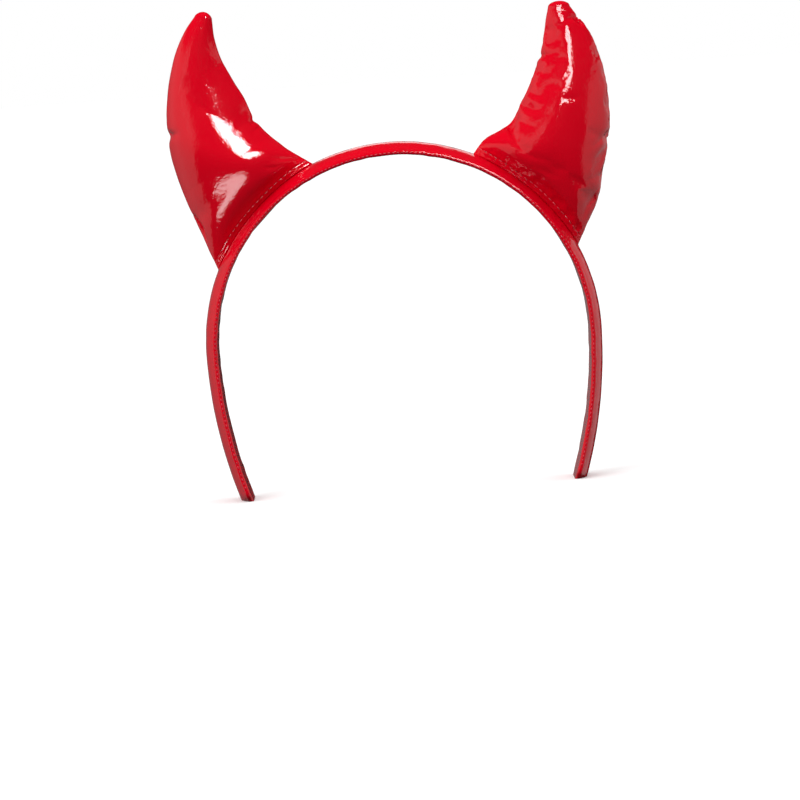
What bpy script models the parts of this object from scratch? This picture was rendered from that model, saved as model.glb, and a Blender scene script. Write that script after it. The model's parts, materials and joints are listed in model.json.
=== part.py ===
"""Devil horns headband: a padded hoop in glossy red vinyl, with two stuffed horns sewn to it.

Metres, +Z up. The wearer faces -Y, so the wearer's right is -X. The headband stands on its
two ends at Z = 0, and the middle of its base is the origin.
"""

import math
from collections import namedtuple

import bmesh
import bpy
from mathutils import Vector

# Hoop: a half circle over the crown, and a gentler curve down each leg
HOOP_RADIUS = 0.0822
LEG_DROP = 0.062
LEG_RADIUS = 0.195
ARC_FACETS = 47
LEG_FACETS = 9

# Band: flat inside, and padded to a low crest outside
BAND_WIDTH = 0.025
BAND_THICKNESS = 0.0052
EDGE_THICKNESS = 0.0022
PADDING_POWER = 2.2
END_CORNER = 0.003
FACE_STEPS = 8
EDGE_STEPS = 3
CORNER_STEPS = 3

# Horns: how full the stuffing makes them, and how their bases sit on the hoop
HORN_HALF_DEPTH = 0.0155
PILLOW_POWER = 2.2
PILLOW_ROUNDNESS = 0.62
ARCH_REACH = 0.45
SEAT_REACH = 0.06
HORN_ROWS = 30
HORN_COLUMNS = 20
TIP_ROWS = 3
BASE_ROWS = 3
ROW_CROWDING = 1.2

# Clearance between sewn pieces
GAP = 0.0003

# A section runs from the outer seam to the inner seam. Its c columns are shares of the base's
# length from the base's outer corner, its n columns shares of the height, and its depth column
# a share of the half depth.
Section = namedtuple("Section", "outer_c outer_n inner_c inner_n depth")

# A gather pulls a panel in where its seam is drawn up. It sits a share of the way along the
# horn, reaches in by a share of the width, takes a share of the depth away over a spread, and
# nicks the seam itself by a share of the width.
Gather = namedtuple("Gather", "seam along reach depth spread nick")

# A fold is a valley in from the inner seam. It climbs the horn by its slope as it goes in.
Fold = namedtuple("Fold", "along slope reach depth spread")

# A horn's tip dome stands on its last section, pointed at a bluntness of 1 and round at 2.
Horn = namedtuple("Horn", "name side angle base height tip_dome bluntness sections gathers folds")

RIGHT_HORN = Horn(
    name="right_horn",
    side=-1,
    angle=math.radians(44.4),
    base=0.0598,
    height=0.0775,
    tip_dome=0.0032,
    bluntness=1.15,
    sections=[
        Section(0.000, 0.000, 1.000, 0.000, 0.32),
        Section(0.075, 0.130, 0.974, 0.085, 0.80),
        Section(0.165, 0.285, 0.952, 0.190, 0.98),
        Section(0.270, 0.455, 0.946, 0.300, 1.02),
        Section(0.400, 0.615, 0.965, 0.400, 0.88),
        Section(0.560, 0.755, 1.020, 0.500, 0.70),
        Section(0.740, 0.863, 1.065, 0.615, 0.58),
        Section(0.920, 0.942, 1.120, 0.735, 0.47),
        Section(1.090, 0.979, 1.190, 0.832, 0.35),
        Section(1.222, 0.990, 1.272, 0.914, 0.22),
    ],
    gathers=[
        Gather("outer", 0.495, 0.12, 0.14, 0.016, 0.018),
        Gather("inner", 0.430, 0.10, 0.14, 0.018, 0.024),
        Gather("outer", 0.215, 0.10, 0.22, 0.035, 0.000),
        Gather("inner", 0.085, 0.16, 0.14, 0.022, 0.000),
    ],
    folds=[],
)

LEFT_HORN = Horn(
    name="left_horn",
    side=1,
    angle=math.radians(44.9),
    base=0.0584,
    height=0.0714,
    tip_dome=0.0024,
    bluntness=2.0,
    sections=[
        Section(0.000, 0.000, 1.000, 0.000, 0.32),
        Section(0.055, 0.130, 1.004, 0.108, 0.78),
        Section(0.120, 0.285, 0.962, 0.215, 0.96),
        Section(0.230, 0.440, 0.945, 0.290, 1.00),
        Section(0.355, 0.606, 0.978, 0.400, 0.94),
        Section(0.512, 0.750, 1.020, 0.515, 0.82),
        Section(0.678, 0.864, 1.068, 0.620, 0.67),
        Section(0.838, 0.942, 1.118, 0.712, 0.52),
        Section(0.988, 0.990, 1.172, 0.790, 0.38),
        Section(1.095, 1.004, 1.230, 0.855, 0.28),
        Section(1.160, 1.014, 1.276, 0.917, 0.20),
    ],
    gathers=[
        Gather("outer", 0.385, 0.14, 0.16, 0.018, 0.018),
        Gather("inner", 0.655, 0.20, 0.16, 0.018, 0.028),
        Gather("outer", 0.860, 0.25, 0.20, 0.022, 0.060),
        Gather("outer", 0.180, 0.12, 0.20, 0.035, 0.000),
        Gather("inner", 0.520, 0.20, 0.08, 0.024, 0.000),
        Gather("inner", 0.400, 0.22, 0.08, 0.026, 0.000),
    ],
    folds=[
        Fold(0.240, -0.45, 0.24, 0.38, 0.026),
    ],
)

RED_VINYL = (0.745, 0.000, 0.011, 1.0)
VINYL_ROUGHNESS = 0.12
SHARP_ANGLE = math.radians(50)


def clear_scene():
    for found in list(bpy.data.objects):
        bpy.data.objects.remove(found, do_unlink=True)


def vinyl(name):
    material = bpy.data.materials.new(name)
    material.use_nodes = True
    shader = material.node_tree.nodes["Principled BSDF"]
    shader.inputs["Base Color"].default_value = RED_VINYL
    shader.inputs["Roughness"].default_value = VINYL_ROUGHNESS
    shader.inputs["Metallic"].default_value = 0.0
    return material


def finish_object(name, mesh_data):
    """Turns a closed bmesh into a named object with its own vinyl, facing out."""
    bmesh.ops.recalc_face_normals(mesh_data, faces=mesh_data.faces)
    mesh = bpy.data.meshes.new(name)
    mesh_data.to_mesh(mesh)
    mesh_data.free()
    mesh.shade_smooth()
    mesh.set_sharp_from_angle(angle=SHARP_ANGLE)
    mesh.materials.append(vinyl(name + "_vinyl"))
    piece = bpy.data.objects.new(name, mesh)
    bpy.context.scene.collection.objects.link(piece)
    return piece


def bridge_rows(mesh_data, lower, upper, closed):
    """Quads between two rows of as many vertices."""
    count = len(lower)
    for i in range(count if closed else count - 1):
        k = (i + 1) % count
        mesh_data.faces.new((lower[i], lower[k], upper[k], upper[i]))


def crest_drop(y, half_width):
    """How far the padded outer face has fallen from its crest at y."""
    edge_radius = EDGE_THICKNESS / 2
    share = min(abs(y) / (half_width - edge_radius), 1.0)
    return (BAND_THICKNESS - EDGE_THICKNESS) * share**PADDING_POWER


def band_section(half_width):
    """The band's section as (y, depth below the crest): its padded face, one round edge, its
    flat inner face and the other edge."""
    edge_radius = EDGE_THICKNESS / 2
    reach = half_width - edge_radius
    edge_depth = BAND_THICKNESS - edge_radius
    points = []
    for i in range(FACE_STEPS + 1):
        y = reach * (2 * i / FACE_STEPS - 1)
        points.append((y, crest_drop(y, half_width)))
    for i in range(1, EDGE_STEPS):
        turn = math.pi * i / EDGE_STEPS
        points.append((reach + edge_radius * math.sin(turn), edge_depth - edge_radius * math.cos(turn)))
    points.append((reach, BAND_THICKNESS))
    points.append((-reach, BAND_THICKNESS))
    for i in range(1, EDGE_STEPS):
        turn = math.pi * i / EDGE_STEPS
        points.append((-reach - edge_radius * math.sin(turn), edge_depth + edge_radius * math.cos(turn)))
    return points


def crown_station(angle):
    """Crest point and outward direction at an angle from the crown."""
    outward = Vector((math.sin(angle), 0, math.cos(angle)))
    return outward * HOOP_RADIUS + Vector((0, 0, LEG_DROP)), outward


def leg_station(side, height):
    """Crest point and outward direction on a leg at a height above the floor."""
    angle = math.asin((LEG_DROP - height) / LEG_RADIUS)
    outward = Vector((side * math.cos(angle), 0, -math.sin(angle)))
    centre = Vector((side * (HOOP_RADIUS - LEG_RADIUS), 0, LEG_DROP))
    return centre + outward * LEG_RADIUS, outward


def leg_stations(side):
    """(crest point, outward direction, half width) from just below the arc to the end."""
    stations = []
    for i in range(1, LEG_FACETS + 1):
        height = LEG_DROP - (LEG_DROP - END_CORNER) * i / LEG_FACETS
        stations.append((*leg_station(side, height), BAND_WIDTH / 2))
    for i in range(1, CORNER_STEPS + 1):
        turn = math.pi / 2 * (1 - i / CORNER_STEPS)
        height = END_CORNER * (1 - math.cos(turn))
        inset = END_CORNER * (1 - math.sin(turn))
        stations.append((*leg_station(side, height), BAND_WIDTH / 2 - inset))
    return stations


def band_row(mesh_data, crest, outward, half_width):
    return [
        mesh_data.verts.new(crest - outward * depth + Vector((0, y, 0)))
        for y, depth in band_section(half_width)
    ]


def flatten_end(row, outward):
    """Runs a leg's last row on along the leg, down to the floor."""
    down = Vector((-abs(outward.z) * math.copysign(1, outward.x), 0, -abs(outward.x)))
    for vertex in row:
        vertex.co += down * (vertex.co.z / abs(down.z))


def build_headband():
    half_turn = math.pi / 2
    arc = [
        (*crown_station(half_turn * (2 * i / ARC_FACETS - 1)), BAND_WIDTH / 2)
        for i in range(ARC_FACETS + 1)
    ]
    stations = list(reversed(leg_stations(-1))) + arc + leg_stations(1)
    mesh_data = bmesh.new()
    rows = [band_row(mesh_data, *station) for station in stations]
    flatten_end(rows[0], stations[0][1])
    flatten_end(rows[-1], stations[-1][1])
    for lower, upper in zip(rows, rows[1:]):
        bridge_rows(mesh_data, lower, upper, closed=True)
    mesh_data.faces.new(rows[0])
    mesh_data.faces.new(rows[-1])
    return finish_object("headband", mesh_data)


def bell(distance):
    return math.exp(-distance * distance)


def beyond(end, neighbour):
    """The row that a table would have one step past its end."""
    return Section(*(2 * a - b for a, b in zip(end, neighbour)))


def read_section(sections, along):
    """A smooth curve through the table's rows, read a share of the way along the horn."""
    last = len(sections) - 1
    place = along * last
    i = min(int(place), last - 1)
    s = place - i
    start = sections[i]
    end = sections[i + 1]
    before = sections[i - 1] if i > 0 else beyond(start, end)
    after = sections[i + 2] if i + 2 <= last else beyond(end, start)
    values = []
    for a, b, c, d in zip(before, start, end, after):
        slope_in = (c - a) / 2
        slope_out = (d - b) / 2
        values.append(
            b
            + slope_in * s
            + (3 * (c - b) - 2 * slope_in - slope_out) * s**2
            + (2 * (b - c) + slope_in + slope_out) * s**3
        )
    return Section(*values)


def base_half_angle(horn):
    return math.asin(horn.base / 2 / HOOP_RADIUS)


def seat_point(horn, across):
    """Crest point under the horn and outward direction there, from base corner to corner."""
    angle = horn.angle + base_half_angle(horn) * (1 - 2 * across)
    outward = Vector((horn.side * math.sin(angle), 0, math.cos(angle)))
    return outward * (HOOP_RADIUS + GAP) + Vector((0, 0, LEG_DROP)), outward


def horn_axes(horn):
    """The base's outer corner, the direction to its inner corner, and the way up the horn."""
    corner, _ = seat_point(horn, 0)
    inward = Vector((-horn.side * math.cos(horn.angle), 0, math.sin(horn.angle)))
    up = Vector((horn.side * math.sin(horn.angle), 0, math.cos(horn.angle)))
    return corner, inward, up


def pillow(across):
    """Share of the depth that the stuffing gives between the two seams."""
    return max(1 - abs(2 * across - 1) ** PILLOW_POWER, 0.0) ** PILLOW_ROUNDNESS


def drawn_in(horn, along, across):
    """Share of the depth that gathers and folds take away."""
    share = 0.0
    for gather in horn.gathers:
        from_seam = across if gather.seam == "outer" else 1 - across
        fade = math.exp(-from_seam / gather.reach)
        share += gather.depth * fade * bell((along - gather.along) / gather.spread)
    for fold in horn.folds:
        from_seam = 1 - across
        valley = fold.along + fold.slope * from_seam
        fade = bell(from_seam / fold.reach)
        share += fold.depth * fade * bell((along - valley) / fold.spread)
    return share


def nicked(horn, along, across):
    """Where across the section a point moves to, with the seams' nicks."""
    nicks = {"outer": 0.0, "inner": 0.0}
    for gather in horn.gathers:
        nicks[gather.seam] += gather.nick * bell((along - gather.along) / gather.spread)
    return nicks["outer"] + across * (1 - nicks["outer"] - nicks["inner"])


def horn_point(horn, along, across):
    """Point in the seam's plane, and the half depth there."""
    corner, inward, up = horn_axes(horn)
    section = read_section(horn.sections, along)
    share = nicked(horn, along, across)
    c = section.outer_c + (section.inner_c - section.outer_c) * share
    n = section.outer_n + (section.inner_n - section.outer_n) * share
    point = corner + inward * (c * horn.base) + up * (n * horn.height)

    # Near its base the section follows the hoop's arc instead of the straight chord
    arch = max(1 - along / ARCH_REACH, 0.0) ** 2
    on_chord = corner + inward * (across * horn.base)
    on_arc, outward = seat_point(horn, across)
    point += (on_arc - on_chord) * arch

    half_depth = HORN_HALF_DEPTH * section.depth * pillow(across)
    half_depth *= 1 - drawn_in(horn, along, across)
    seated = max(1 - along / SEAT_REACH, 0.0)
    point -= outward * (crest_drop(half_depth, BAND_WIDTH / 2) * seated)
    return point, half_depth


def column_share(column):
    """Where a column lies across a panel: the columns crowd towards both seams."""
    return (1 - math.cos(math.pi * column / HORN_COLUMNS)) / 2


def panel_row(horn, face, along):
    """A row of points from the outer seam to the inner seam, on the front or back panel."""
    points = []
    for column in range(HORN_COLUMNS + 1):
        point, half_depth = horn_point(horn, along, column_share(column))
        point.y = face * (GAP / 2 + half_depth)
        points.append(point)
    return points


def tip_rows(horn, last_row):
    """Rows that shrink the last section to a round tip, and the tip's own point."""
    outer, inner = last_row[0], last_row[-1]
    middle = (outer + inner) / 2
    chord = (inner - outer).normalized()
    ahead = Vector((-chord.z, 0, chord.x)) * -horn.side
    seam_y = outer.y
    rows = []
    for i in range(1, TIP_ROWS):
        turn = math.pi / 2 * i / TIP_ROWS
        rise = horn.tip_dome * math.sin(turn) ** (2 / horn.bluntness)
        row = []
        for point in last_row:
            shrunk = middle + (point - middle) * math.cos(turn)
            shrunk.y = seam_y + (point.y - seam_y) * math.cos(turn)
            row.append(shrunk + ahead * rise)
        rows.append(row)
    return rows, middle + ahead * horn.tip_dome


def base_rows(horn, face, first_row):
    """Rows that close the base over the band, from its front or back edge to the seam's plane."""
    rows = []
    for i in range(1, BASE_ROWS + 1):
        row = []
        for column in range(1, HORN_COLUMNS):
            crest, outward = seat_point(horn, column_share(column))
            depth = (abs(first_row[column].y) - GAP / 2) * (1 - i / BASE_ROWS)
            point = crest - outward * crest_drop(depth, BAND_WIDTH / 2)
            point.y = face * (GAP / 2 + depth)
            row.append(point)
        rows.append(row)
    return rows


def build_horn_panel(horn, face, name):
    """One stuffed half of a horn. Its flat side meets the other half in the seam's plane."""
    rows = [panel_row(horn, face, (i / HORN_ROWS) ** ROW_CROWDING) for i in range(HORN_ROWS + 1)]
    domed, tip_point = tip_rows(horn, rows[-1])
    mesh_data = bmesh.new()
    outside = [[mesh_data.verts.new(point) for point in row] for row in rows + domed]
    tip = mesh_data.verts.new(tip_point)
    for lower, upper in zip(outside, outside[1:]):
        bridge_rows(mesh_data, lower, upper, closed=False)
    for a, b in zip(outside[-1], outside[-1][1:]):
        mesh_data.faces.new((a, b, tip))

    base = outside[0]
    previous = base
    for points in base_rows(horn, face, rows[0]):
        row = [base[0]] + [mesh_data.verts.new(point) for point in points] + [base[-1]]
        mesh_data.faces.new((previous[0], previous[1], row[1]))
        bridge_rows(mesh_data, previous[1:-1], row[1:-1], closed=False)
        mesh_data.faces.new((previous[-2], previous[-1], row[-2]))
        previous = row

    seam_outline = previous + [row[-1] for row in outside[1:]] + [tip]
    seam_outline += [row[0] for row in reversed(outside[1:])]
    mesh_data.faces.new(seam_outline)
    return finish_object(name, mesh_data)


clear_scene()
build_headband()
for horn in (RIGHT_HORN, LEFT_HORN):
    build_horn_panel(horn, -1, horn.name + "_front_panel")
    build_horn_panel(horn, 1, horn.name + "_back_panel")
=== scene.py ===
"""Looks of the devil horns headband: glossy red vinyl, sewn and stuffed.

Metres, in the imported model's frame: +Z up, the wearer faces -Y, and the wearer's right is -X.
"""

import json
import math
from collections import namedtuple

import bpy
import numpy as np
from mathutils import Matrix, Quaternion, Vector, noise

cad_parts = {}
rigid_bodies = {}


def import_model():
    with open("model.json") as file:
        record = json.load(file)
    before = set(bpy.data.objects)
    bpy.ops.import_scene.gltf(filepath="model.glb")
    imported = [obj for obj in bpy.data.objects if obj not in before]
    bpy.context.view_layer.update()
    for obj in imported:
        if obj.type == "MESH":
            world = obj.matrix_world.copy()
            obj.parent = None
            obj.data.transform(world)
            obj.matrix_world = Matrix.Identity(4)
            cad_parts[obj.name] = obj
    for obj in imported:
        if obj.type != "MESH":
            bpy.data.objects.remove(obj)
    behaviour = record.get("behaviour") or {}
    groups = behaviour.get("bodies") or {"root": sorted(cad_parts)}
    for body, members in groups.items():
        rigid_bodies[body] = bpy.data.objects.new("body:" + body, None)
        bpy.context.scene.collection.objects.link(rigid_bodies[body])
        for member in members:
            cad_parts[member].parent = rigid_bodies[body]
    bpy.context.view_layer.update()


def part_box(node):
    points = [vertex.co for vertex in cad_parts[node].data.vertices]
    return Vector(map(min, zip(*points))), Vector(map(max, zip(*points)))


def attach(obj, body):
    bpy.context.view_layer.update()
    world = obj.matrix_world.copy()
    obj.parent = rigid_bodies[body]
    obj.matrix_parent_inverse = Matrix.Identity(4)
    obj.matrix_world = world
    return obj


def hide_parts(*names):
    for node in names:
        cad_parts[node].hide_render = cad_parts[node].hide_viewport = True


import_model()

MM = 0.001

# Sizes read from the frame
hoop_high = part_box("headband")[1]
HOOP_RADIUS = hoop_high.x
HOOP_CENTRE = Vector((0, 0, hoop_high.z - HOOP_RADIUS))

# Sizes that follow the solids. SEWN_GAP keeps touching faces from lying in one plane. The powers
# and the roundness shape the band's padding and a horn's section. ARCH_REACH and SEAT_REACH are
# the shares of a horn's height over which it bends to the hoop and sinks onto the padding.
SEWN_GAP = 0.02 * MM
BAND_WIDTH = 25 * MM
BAND_THICKNESS = 5.2 * MM
EDGE_THICKNESS = 2.2 * MM
PADDING_POWER = 2.2
LEG_RADIUS = 195 * MM
END_CORNER = 3 * MM
HORN_HALF_DEPTH = 15.5 * MM
PILLOW_POWER = 2.2
PILLOW_ROUNDNESS = 0.62
ARCH_REACH = 0.45
SEAT_REACH = 0.06
ROW_SPACING = 1.1

# Sewing: the groove along the seams, the hem round a horn's base, and the thread. A stitch
# shows over STITCH_SHOWS of its pitch, and comes up STITCH_STARTS after the pitch begins.
SEAM_GROOVE = 0.40 * MM
SEAM_GROOVE_REACH = 0.8 * MM
SEAM_GROOVE_PANEL = 12 * MM
HEM_WIDTH = 3.1 * MM
HEM_LIP = 0.30 * MM
HEM_LIP_PLACE = 0.5 * MM
HEM_LIP_SPREAD = 0.45 * MM
HEM_GROOVE = 0.28 * MM
HEM_GROOVE_SPREAD = 0.40 * MM
THREAD = 0.42 * MM
EDGE_STITCH = 1.8 * MM
BASE_STITCH = 2.6 * MM
EDGE_STITCH_TURN = math.radians(6)
EDGE_STITCH_PULL = 0.09 * MM
EDGE_STITCHES_END = 3.5 * MM
STITCH_STARTS = 0.18
STITCH_SHOWS = 0.64
STITCH_RISE = 0.42
STITCH_SUNK = 0.55
STITCH_END_THICKNESS = 0.55

# Cloth simulation of the horn panels. No point moves further than about the cap, and the last
# share of the rows is held by the hard-packed tip.
CLOTH_ROWS = 96
CLOTH_COLUMNS = 60
CLOTH_FRAMES = 20
CLOTH_CAP = 0.9 * MM
CLOTH_PRESSURE = 4
CLOTH_STRETCH_STIFFNESS = 20
CLOTH_SHEAR_STIFFNESS = 10
CLOTH_BENDING_STIFFNESS = 2
CLOTH_VERTEX_MASS = 0.3
CLOTH_QUALITY = 8
PACKED_TIP = 0.16

# Lumps in a horn: how many fit in a metre, large and small. Puckers along its seams: pitch, how
# far they reach from the seam, and height as a share of the horn's own. They run at a slant, and
# are full on a panel that is BROAD_PANEL across.
LUMPS_PER_METRE = 95
SMALL_LUMPS_PER_METRE = 210
SMALL_LUMP_SHARE = 0.5
PUCKERS = ((2.1 * MM, 2.2 * MM, 0.55), (4.2 * MM, 5.0 * MM, 1.0))
PUCKER_SLANT = 0.35
PUCKER_START = 0.9 * MM
BROAD_PANEL = 22 * MM
LONGEST_SEAM = 0.2

# Wrinkles in the band's cover: pitch, height and slant
WRINKLES = (4.6 * MM, 0.13 * MM, 0.25)
SMALL_WRINKLES = (2.3 * MM, 0.07 * MM, -0.4)
INNER_WRINKLES = (3.4 * MM, 0.12 * MM, 0.15)
LONGEST_BAND = 0.5

# The photograph's camera: its pixels, what a pixel covers at the hoop, and the pixel that the
# hoop's centre falls on
FRAME_PIXELS = 800
PIXEL = 0.415 * MM
HOOP_AT_PIXEL = (404.0, 339.6)
CAMERA_DISTANCE = 1.8
CAMERA_ELEVATION = math.radians(5)
CAMERA_ROLL = math.radians(4)
SENSOR = 36.0

# A section across a horn: where it meets the outer and the inner seam, as shares of the base
# (c) and of the height (n), and how deep it is there as a share of the full depth
Section = namedtuple("Section", "outer_c outer_n inner_c inner_n depth")

# A gather draws a seam in: which seam, how far up, how far over the panel it reaches, the share
# of the depth it takes, how far up and down it spreads, and how deep it nicks the outline
Gather = namedtuple("Gather", "seam along reach depth spread nick")

# A horn stands at an angle from the crown, side -1 on the wearer's right. Its tip is a dome,
# blunter as bluntness grows. belly_skew slants the line where the stuffing is fattest, and lean
# moves the stuffing to the inner seam. slack is what the cloth is cut too large, as a share, and
# lumps and puckers are heights.
Horn = namedtuple(
    "Horn",
    "name side angle base height tip_dome bluntness sections gathers belly_skew lean"
    " slack lumps puckers",
)

# A crease is a valley along a line drawn on the panel in front-view millimetres. It eases out
# over its own distance on the left and on the right of the line, and is as strong at its start
# and end as fade says.
Crease = namedtuple("Crease", "line depth left right fade")

RIGHT_CREASES = [
    # Where the seam thread draws the vinyl in
    Crease([(-91.5, 153.4), (-88.9, 153.6), (-85.8, 154.2)], 1.3, 1.4, 1.4, (1.0, 0.0)),
    Crease([(-54.0, 156.6), (-55.9, 155.9), (-57.6, 155.5)], 0.9, 0.8, 0.8, (1.0, 0.0)),
    Crease([(-54.4, 158.0), (-56.6, 159.0), (-58.6, 159.5)], 0.35, 0.6, 0.9, (1.0, 0.0)),
    Crease([(-53.0, 154.6), (-55.2, 152.8), (-57.0, 151.8)], 0.30, 0.9, 0.6, (1.0, 0.0)),
    # Folds at the inner corner of the base
    Crease([(-51.2, 142.3), (-45.7, 140.6), (-39.4, 140.4), (-34.5, 140.2)], 0.9, 1.0, 1.9, (0.0, 0.8)),
    Crease([(-53.2, 137.6), (-48.4, 137.2), (-44.0, 138.2)], 0.45, 0.8, 1.5, (0.0, 0.3)),
    Crease([(-56.2, 126.5), (-51.4, 129.4), (-43.6, 134.9), (-38.4, 137.1)], 0.8, 1.6, 2.0, (0.0, 1.0)),
    # A dent low on the outer side, and the bottom of a flat near the tip
    Crease([(-83.4, 119.0), (-81.0, 114.6), (-79.0, 109.0)], 2.3, 0.8, 1.4, (0.5, 0.2)),
    Crease([(-73.5, 178.0), (-69.3, 179.7), (-64.9, 182.0)], 0.35, 2.6, 1.4, (0.0, 1.0)),
]

RIGHT_BACK_CREASES = [
    Crease([(-91.5, 154.0), (-88.4, 154.9), (-84.8, 156.4)], 1.2, 1.5, 1.8, (1.0, 0.0)),
    Crease([(-54.0, 156.6), (-56.4, 155.2), (-58.9, 154.4)], 0.7, 1.1, 1.3, (1.0, 0.0)),
    Crease([(-84.4, 121.5), (-79.5, 119.2), (-74.9, 118.6)], 0.7, 1.8, 2.0, (0.8, 0.0)),
    Crease([(-41.5, 143.6), (-46.8, 141.2), (-51.5, 140.6)], 0.6, 1.8, 2.2, (0.9, 0.0)),
]

LEFT_CREASES = [
    # The body of the horn folds over the lobe at the inner corner of the base
    Crease([(48.3, 148.8), (49.1, 146.0), (49.8, 143.3), (51.0, 140.4), (53.2, 138.0), (56.4, 136.4)],
           2.9, 3.2, 0.9, (1.0, 0.0)),
    # The gathers at the tip and on both seams
    Crease([(82.0, 187.9), (79.0, 190.3), (76.9, 189.7), (73.5, 188.6)], 1.3, 1.1, 1.6, (1.0, 0.0)),
    Crease([(64.5, 175.6), (68.8, 175.9), (72.0, 176.6)], 0.9, 1.6, 1.2, (1.0, 0.0)),
    Crease([(90.5, 141.3), (86.4, 138.8), (82.5, 136.0)], 1.1, 1.8, 1.4, (1.0, 0.0)),
    Crease([(89.6, 135.8), (84.3, 131.9), (80.5, 127.5)], 0.8, 2.2, 1.6, (1.0, 0.0)),
    # Soft dents down the inner seam
    Crease([(60.8, 169.8), (64.7, 168.0), (68.3, 166.8)], 0.55, 1.8, 1.5, (0.7, 0.0)),
    Crease([(57.6, 161.6), (61.7, 159.0), (65.5, 157.6)], 0.60, 2.0, 1.6, (0.7, 0.0)),
    Crease([(54.4, 156.0), (59.5, 153.3), (63.0, 152.6)], 0.60, 2.0, 1.6, (0.7, 0.0)),
    Crease([(51.4, 151.0), (56.8, 147.4), (61.0, 146.0)], 0.60, 2.0, 1.6, (0.7, 0.0)),
    # Dents down the outer side, and one that cuts the long highlight short
    Crease([(87.6, 124.9), (81.7, 123.3), (77.5, 122.5)], 0.7, 2.2, 1.8, (1.0, 0.0)),
    Crease([(82.8, 116.0), (79.5, 111.4), (77.0, 106.5)], 1.2, 1.3, 2.6, (0.6, 0.2)),
    Crease([(71.5, 157.6), (75.0, 156.9), (78.5, 157.1)], 0.25, 1.6, 1.2, (0.3, 0.3)),
    # Drag lines that run out of the fold
    Crease([(53.2, 137.0), (56.7, 134.8), (60.5, 133.2), (66.0, 132.0)], 0.5, 1.5, 1.5, (0.6, 0.0)),
    Crease([(56.5, 131.1), (62.4, 127.8), (68.4, 124.9)], 0.4, 2.0, 2.0, (0.0, 0.0)),
]

LEFT_BACK_CREASES = [
    Crease([(48.3, 148.8), (50.2, 144.9), (53.1, 141.5), (57.8, 139.2)], 2.2, 2.8, 1.2, (1.0, 0.0)),
    Crease([(82.0, 187.9), (79.6, 188.8), (76.0, 188.2)], 1.0, 1.2, 1.6, (1.0, 0.0)),
    Crease([(64.5, 175.6), (67.9, 174.3), (71.3, 174.0)], 0.8, 1.5, 1.4, (1.0, 0.0)),
    Crease([(90.5, 141.3), (86.0, 140.3), (81.4, 140.6)], 1.0, 1.8, 1.5, (1.0, 0.0)),
    Crease([(89.6, 135.8), (84.9, 133.2), (80.6, 132.5)], 0.7, 2.0, 1.8, (1.0, 0.0)),
    Crease([(57.6, 161.6), (62.3, 160.2), (66.4, 160.4)], 0.6, 2.0, 1.8, (0.8, 0.0)),
    Crease([(51.4, 151.0), (56.9, 149.9), (62.0, 150.8)], 0.6, 2.0, 1.8, (0.8, 0.0)),
    Crease([(87.6, 124.9), (82.2, 122.4), (77.4, 122.9)], 0.7, 2.2, 2.0, (1.0, 0.0)),
]

RIGHT_HORN = Horn(
    name="right_horn",
    side=-1,
    angle=math.radians(44.4),
    base=59.8 * MM,
    height=77.5 * MM,
    tip_dome=2.5 * MM,
    bluntness=1.45,
    sections=[
        Section(0.000, 0.000, 1.000, 0.000, 0.32),
        Section(0.075, 0.130, 0.974, 0.085, 0.80),
        Section(0.165, 0.285, 0.952, 0.190, 0.98),
        Section(0.270, 0.455, 0.946, 0.300, 1.02),
        Section(0.400, 0.615, 0.965, 0.400, 0.88),
        Section(0.560, 0.748, 1.020, 0.500, 0.70),
        Section(0.740, 0.855, 1.065, 0.615, 0.58),
        Section(0.920, 0.934, 1.120, 0.735, 0.47),
        Section(1.085, 0.978, 1.190, 0.828, 0.35),
        Section(1.208, 0.992, 1.278, 0.908, 0.22),
    ],
    gathers=[
        Gather("outer", 0.488, 0.05, 0.10, 0.016, 0.024),
        Gather("inner", 0.430, 0.03, 0.06, 0.018, 0.024),
        Gather("outer", 0.215, 0.10, 0.22, 0.035, 0.000),
        Gather("inner", 0.085, 0.16, 0.14, 0.022, 0.000),
    ],
    belly_skew=0.34,
    lean=0.03,
    slack=0.0003,
    lumps=0.02 * MM,
    puckers=0.08 * MM,
)

LEFT_HORN = Horn(
    name="left_horn",
    side=1,
    angle=math.radians(44.9),
    base=58.4 * MM,
    height=71.4 * MM,
    tip_dome=2.4 * MM,
    bluntness=2.0,
    sections=[
        Section(0.000, 0.000, 1.000, 0.000, 0.32),
        Section(0.055, 0.130, 1.004, 0.108, 0.78),
        Section(0.120, 0.285, 0.962, 0.215, 0.96),
        Section(0.230, 0.440, 0.945, 0.290, 1.00),
        Section(0.355, 0.606, 0.978, 0.400, 0.94),
        Section(0.512, 0.750, 1.020, 0.515, 0.82),
        Section(0.678, 0.864, 1.068, 0.620, 0.67),
        Section(0.838, 0.942, 1.118, 0.712, 0.52),
        Section(0.988, 0.990, 1.172, 0.790, 0.38),
        Section(1.095, 1.004, 1.230, 0.855, 0.28),
        Section(1.160, 1.014, 1.276, 0.917, 0.20),
    ],
    gathers=[
        Gather("outer", 0.385, 0.08, 0.12, 0.018, 0.018),
        Gather("inner", 0.655, 0.08, 0.12, 0.018, 0.028),
        Gather("outer", 0.860, 0.12, 0.16, 0.022, 0.060),
        Gather("outer", 0.180, 0.12, 0.20, 0.035, 0.000),
        Gather("inner", 0.520, 0.12, 0.08, 0.024, 0.000),
        Gather("inner", 0.400, 0.12, 0.08, 0.026, 0.000),
    ],
    belly_skew=0.0,
    lean=0.08,
    slack=0.004,
    lumps=0.05 * MM,
    puckers=0.15 * MM,
)

# Half the side of the paper floor, and where the lamps are aimed unless they say otherwise
FLOOR_REACH = 12.0
LAMP_TARGET = (0, 0, 0.15)

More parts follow.
